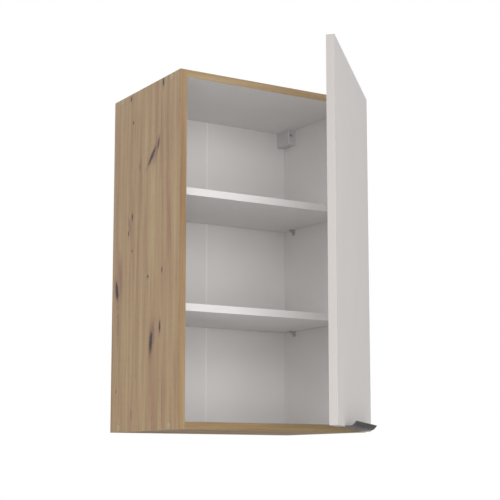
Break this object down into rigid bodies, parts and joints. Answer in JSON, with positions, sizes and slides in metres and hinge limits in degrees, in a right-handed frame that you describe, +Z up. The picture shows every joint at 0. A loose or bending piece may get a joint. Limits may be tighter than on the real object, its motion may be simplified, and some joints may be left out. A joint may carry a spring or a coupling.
{
  "type": "hanging wall cabinet",
  "caption": "Hanging wall cabinet with a side-hinged door standing part open, two loose shelves, concealed cup hinges, a lipped lower handle and adjustable wall brackets.",
  "frame": {"origin": "on the wall plane, midway between the two hanging hooks, at the level where they rest on the wall rail", "axes": "+X to the right seen from the front, +Y into the wall, +Z up"},
  "size_m": [0.4527, 0.6362, 0.72],
  "materials": {
    "oak_board": "matt wood-decor laminate on chipboard",
    "oak_edge": "matt wood-decor edge strip",
    "hardboard": "thin fibreboard, light grey",
    "grey_strip": "matt",
    "zinc_steel": "bright zinc",
    "nickel_steel": "nickel-plated steel",
    "cap_film": "matt film",
    "beech": "bare beech",
    "grey_board": "matt light grey laminate",
    "grey_edge": "matt",
    "door_board": "matt warm grey",
    "door_edge": "matt",
    "dark_aluminium": "dark anodised",
    "soft_pad": "clear soft",
    "cover_plastic": "matt moulded"
  },
  "bodies": {
    "carcass": {"left_side_panel": "oak_board", "right_side_panel": "oak_board", "bottom_panel": "oak_board", "top_panel": "oak_board", "front_edge_bands": "oak_edge", "back_panel_left": "hardboard", "back_panel_right": "hardboard", "back_joint_strip": "grey_strip", "confirmat_screws": "zinc_steel", "screw_cover_caps": "cap_film", "wooden_dowels": "beech", "upper_shelf_pegs": "zinc_steel", "lower_shelf_pegs": "zinc_steel", "upper_hinge_plate": "nickel_steel", "upper_hinge_plate_screws": "zinc_steel", "upper_hinge_arm": "nickel_steel", "upper_hinge_arm_screws": "zinc_steel", "upper_hinge_arm_pins": "nickel_steel", "lower_hinge_plate": "nickel_steel", "lower_hinge_plate_screws": "zinc_steel", "lower_hinge_arm": "nickel_steel", "lower_hinge_arm_screws": "zinc_steel", "lower_hinge_arm_pins": "nickel_steel", "left_hanger_frame": "zinc_steel", "left_hanger_fixing_screws": "zinc_steel", "left_hanger_cover": "cover_plastic", "right_hanger_frame": "zinc_steel", "right_hanger_fixing_screws": "zinc_steel", "right_hanger_cover": "cover_plastic"},
    "short_links": {"upper_hinge_short_link": "nickel_steel", "lower_hinge_short_link": "nickel_steel"},
    "long_links": {"upper_hinge_long_link": "nickel_steel", "lower_hinge_long_link": "nickel_steel"},
    "door": {"door_panel": "door_board", "door_edge_bands": "door_edge", "handle": "dark_aluminium", "handle_screws": "zinc_steel", "door_bumpers": "soft_pad", "upper_hinge_cup": "nickel_steel", "upper_hinge_cup_screws": "zinc_steel", "upper_hinge_cup_pins": "nickel_steel", "lower_hinge_cup": "nickel_steel", "lower_hinge_cup_screws": "zinc_steel", "lower_hinge_cup_pins": "nickel_steel"},
    "upper_shelf_board": {"upper_shelf": "grey_board", "upper_shelf_edge": "grey_edge"},
    "lower_shelf_board": {"lower_shelf": "grey_board", "lower_shelf_edge": "grey_edge"},
    "left_carrier": {"left_hanger_carrier": "zinc_steel"},
    "left_hook": {"left_wall_hook": "zinc_steel"},
    "left_lift_screw": {"left_height_screw": "zinc_steel"},
    "left_draw_screw": {"left_depth_screw": "zinc_steel"},
    "right_carrier": {"right_hanger_carrier": "zinc_steel"},
    "right_hook": {"right_wall_hook": "zinc_steel"},
    "right_lift_screw": {"right_height_screw": "zinc_steel"},
    "right_draw_screw": {"right_depth_screw": "zinc_steel"}
  },
  "joints": [
    {"name": "door_swing", "type": "hinge", "parent": "short_links", "child": "door", "pos_m": [0.21299, -0.3156, 0], "axis": [0, 0, 1], "range_deg": [-73.39, 71.15]},
    {"name": "short_link_swing", "type": "hinge", "parent": "carcass", "child": "short_links", "pos_m": [0.19798, -0.30942, 0], "axis": [0, 0, 1], "range_deg": [-28.8, 27.8]},
    {"name": "long_link_swing", "type": "hinge", "parent": "carcass", "child": "long_links", "pos_m": [0.184, -0.29651, 0], "axis": [0, 0, 1], "range_deg": [-19.3, 18.7]},
    {"name": "upper_shelf_lift", "type": "slide", "parent": "carcass", "child": "upper_shelf_board", "axis": [0, 0, 1], "range_m": [0, 0.03]},
    {"name": "lower_shelf_lift", "type": "slide", "parent": "carcass", "child": "lower_shelf_board", "axis": [0, 0, 1], "range_m": [0, 0.03]},
    {"name": "left_height_screw_turn", "type": "hinge", "parent": "carcass", "child": "left_lift_screw", "pos_m": [-0.204, -0.044, 0], "axis": [0, 0, 1], "range_deg": [-1446, 1446]},
    {"name": "left_carrier_lift", "type": "slide", "parent": "carcass", "child": "left_carrier", "axis": [0, 0, 1], "range_m": [-0.004, 0.004]},
    {"name": "left_depth_screw_turn", "type": "hinge", "parent": "left_carrier", "child": "left_draw_screw", "pos_m": [-0.198, -0.05, 0.01], "axis": [0, 1, 0], "range_deg": [-2166, 1446]},
    {"name": "left_hook_draw", "type": "slide", "parent": "left_carrier", "child": "left_hook", "axis": [0, 1, 0], "range_m": [-0.004, 0.006]},
    {"name": "right_height_screw_turn", "type": "hinge", "parent": "carcass", "child": "right_lift_screw", "pos_m": [0.204, -0.044, 0], "axis": [0, 0, 1], "range_deg": [-1446, 1446]},
    {"name": "right_carrier_lift", "type": "slide", "parent": "carcass", "child": "right_carrier", "axis": [0, 0, 1], "range_m": [-0.004, 0.004]},
    {"name": "right_depth_screw_turn", "type": "hinge", "parent": "right_carrier", "child": "right_draw_screw", "pos_m": [0.198, -0.05, 0.01], "axis": [0, 1, 0], "range_deg": [-2166, 1446]},
    {"name": "right_hook_draw", "type": "slide", "parent": "right_carrier", "child": "right_hook", "axis": [0, 1, 0], "range_m": [-0.004, 0.006]}
  ],
  "couplings": [
    {"joint": "short_link_swing", "follows": "door_swing", "ratio": -0.37733},
    {"joint": "long_link_swing", "follows": "door_swing", "ratio": -0.2528},
    {"joint": "left_height_screw_turn", "follows": "left_carrier_lift", "rad_per_m": -6283.2},
    {"joint": "left_depth_screw_turn", "follows": "left_hook_draw", "rad_per_m": -6283.2},
    {"joint": "right_height_screw_turn", "follows": "right_carrier_lift", "rad_per_m": -6283.2},
    {"joint": "right_depth_screw_turn", "follows": "right_hook_draw", "rad_per_m": -6283.2}
  ]
}
